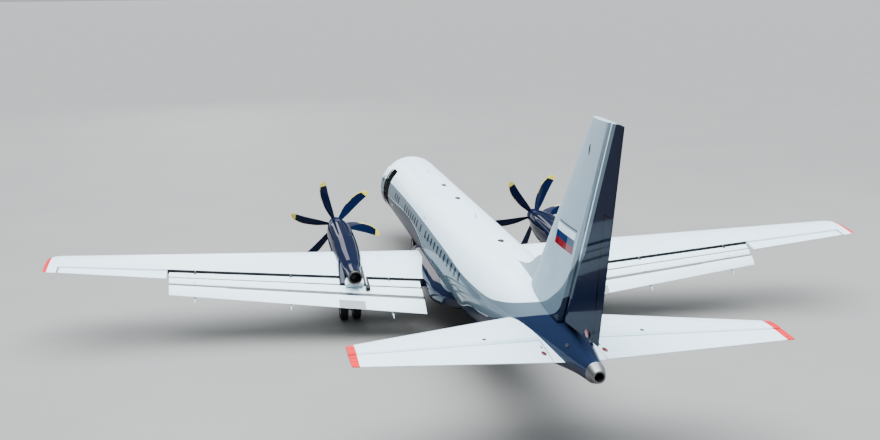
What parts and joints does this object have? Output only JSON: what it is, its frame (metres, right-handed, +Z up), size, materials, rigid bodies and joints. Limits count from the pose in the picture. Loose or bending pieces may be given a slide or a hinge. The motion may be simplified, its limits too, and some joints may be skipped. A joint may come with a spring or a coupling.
{
  "type": "turboprop airliner",
  "caption": "Low-wing turboprop airliner parked on its wheels with flaps lowered: turning propellers and wheels, steered nose gear, hinged control surfaces, open passenger doorway.",
  "frame": {"origin": "on the ground under the middle of the aircraft's length and span", "axes": "+X to port along the span, -Y towards the nose, +Z up"},
  "size_m": [30, 27.7598, 9.2],
  "materials": {
    "white_paint": "gloss",
    "navy_paint": "gloss",
    "bare_metal": "satin",
    "gear_metal": "satin",
    "engine_casting": "rough",
    "tyre_rubber": "matte"
  },
  "bodies": {
    "airframe": {"nose_cone": "white_paint", "forward_fuselage": "white_paint", "centre_fuselage": "white_paint", "rear_fuselage": "white_paint", "tail_cone": "navy_paint", "auxiliary_exhaust": "bare_metal", "passenger_door": "white_paint", "wing_root_fairing": "navy_paint", "fin": "white_paint", "nose_leg": "gear_metal", "nose_gear_door_port": "white_paint", "nose_gear_door_starboard": "white_paint", "wing_port": "white_paint", "wing_tip_port": "white_paint", "flap_vane_port": "white_paint", "flap_main_port": "white_paint", "flap_aft_port": "white_paint", "nacelle_port": "navy_paint", "engine_port": "engine_casting", "jet_pipe_port": "bare_metal", "tailplane_port": "white_paint", "main_leg_port": "gear_metal", "main_gear_door_port": "navy_paint", "wing_starboard": "white_paint", "wing_tip_starboard": "white_paint", "flap_vane_starboard": "white_paint", "flap_main_starboard": "white_paint", "flap_aft_starboard": "white_paint", "nacelle_starboard": "navy_paint", "engine_starboard": "engine_casting", "jet_pipe_starboard": "bare_metal", "tailplane_starboard": "white_paint", "main_leg_starboard": "gear_metal", "main_gear_door_starboard": "navy_paint"},
    "propeller_port": {"propeller_port": "navy_paint"},
    "propeller_starboard": {"propeller_starboard": "navy_paint"},
    "nose_fork": {"nose_fork": "gear_metal"},
    "nose_wheels": {"nose_wheels": "tyre_rubber"},
    "main_wheels_port": {"main_wheels_port": "tyre_rubber"},
    "main_wheels_starboard": {"main_wheels_starboard": "tyre_rubber"},
    "aileron_port": {"aileron_port": "white_paint"},
    "aileron_starboard": {"aileron_starboard": "white_paint"},
    "elevator_port": {"elevator_port": "white_paint"},
    "elevator_starboard": {"elevator_starboard": "white_paint"},
    "rudder": {"rudder": "navy_paint"}
  },
  "joints": [
    {"name": "propeller_port_turn", "type": "hinge", "parent": "airframe", "child": "propeller_port", "pos_m": [4.3, -5.55, 2.48], "axis": [0, 1, 0], "continuous": true},
    {"name": "propeller_starboard_turn", "type": "hinge", "parent": "airframe", "child": "propeller_starboard", "pos_m": [-4.3, -5.55, 2.48], "axis": [0, 1, 0], "continuous": true},
    {"name": "nose_steering", "type": "hinge", "parent": "airframe", "child": "nose_fork", "pos_m": [0, -9.88, 0.9], "axis": [0, 0, 1], "range_deg": [-55, 55]},
    {"name": "nose_wheels_roll", "type": "hinge", "parent": "nose_fork", "child": "nose_wheels", "pos_m": [0, -9.83, 0.31], "axis": [1, 0, 0], "continuous": true},
    {"name": "main_wheels_port_roll", "type": "hinge", "parent": "airframe", "child": "main_wheels_port", "pos_m": [4.3, -0.75, 0.44], "axis": [1, 0, 0], "continuous": true},
    {"name": "main_wheels_starboard_roll", "type": "hinge", "parent": "airframe", "child": "main_wheels_starboard", "pos_m": [-4.3, -0.75, 0.44], "axis": [1, 0, 0], "continuous": true},
    {"name": "aileron_port_tilt", "type": "hinge", "parent": "airframe", "child": "aileron_port", "pos_m": [10.86, 0.3379, 2.4527], "axis": [0.9959, -0.0067, 0.0903], "range_deg": [-20, 20]},
    {"name": "aileron_starboard_tilt", "type": "hinge", "parent": "airframe", "child": "aileron_starboard", "pos_m": [-10.86, 0.3379, 2.4527], "axis": [0.9959, 0.0067, -0.0903], "range_deg": [-20, 20]},
    {"name": "elevator_port_tilt", "type": "hinge", "parent": "airframe", "child": "elevator_port", "pos_m": [0.3, 10.84, 3.11], "axis": [0.9949, 0.094, 0.0368], "range_deg": [-15, 25]},
    {"name": "elevator_starboard_tilt", "type": "hinge", "parent": "airframe", "child": "elevator_starboard", "pos_m": [-0.3, 10.84, 3.11], "axis": [0.9949, -0.094, -0.0368], "range_deg": [-15, 25]},
    {"name": "rudder_turn", "type": "hinge", "parent": "airframe", "child": "rudder", "pos_m": [0, 11.14, 3.6], "axis": [0, 0.3628, 0.9319], "range_deg": [-25, 25]}
  ],
  "couplings": [
    {"joint": "aileron_starboard_tilt", "follows": "aileron_port_tilt", "ratio": -1},
    {"joint": "elevator_starboard_tilt", "follows": "elevator_port_tilt", "ratio": 1}
  ]
}
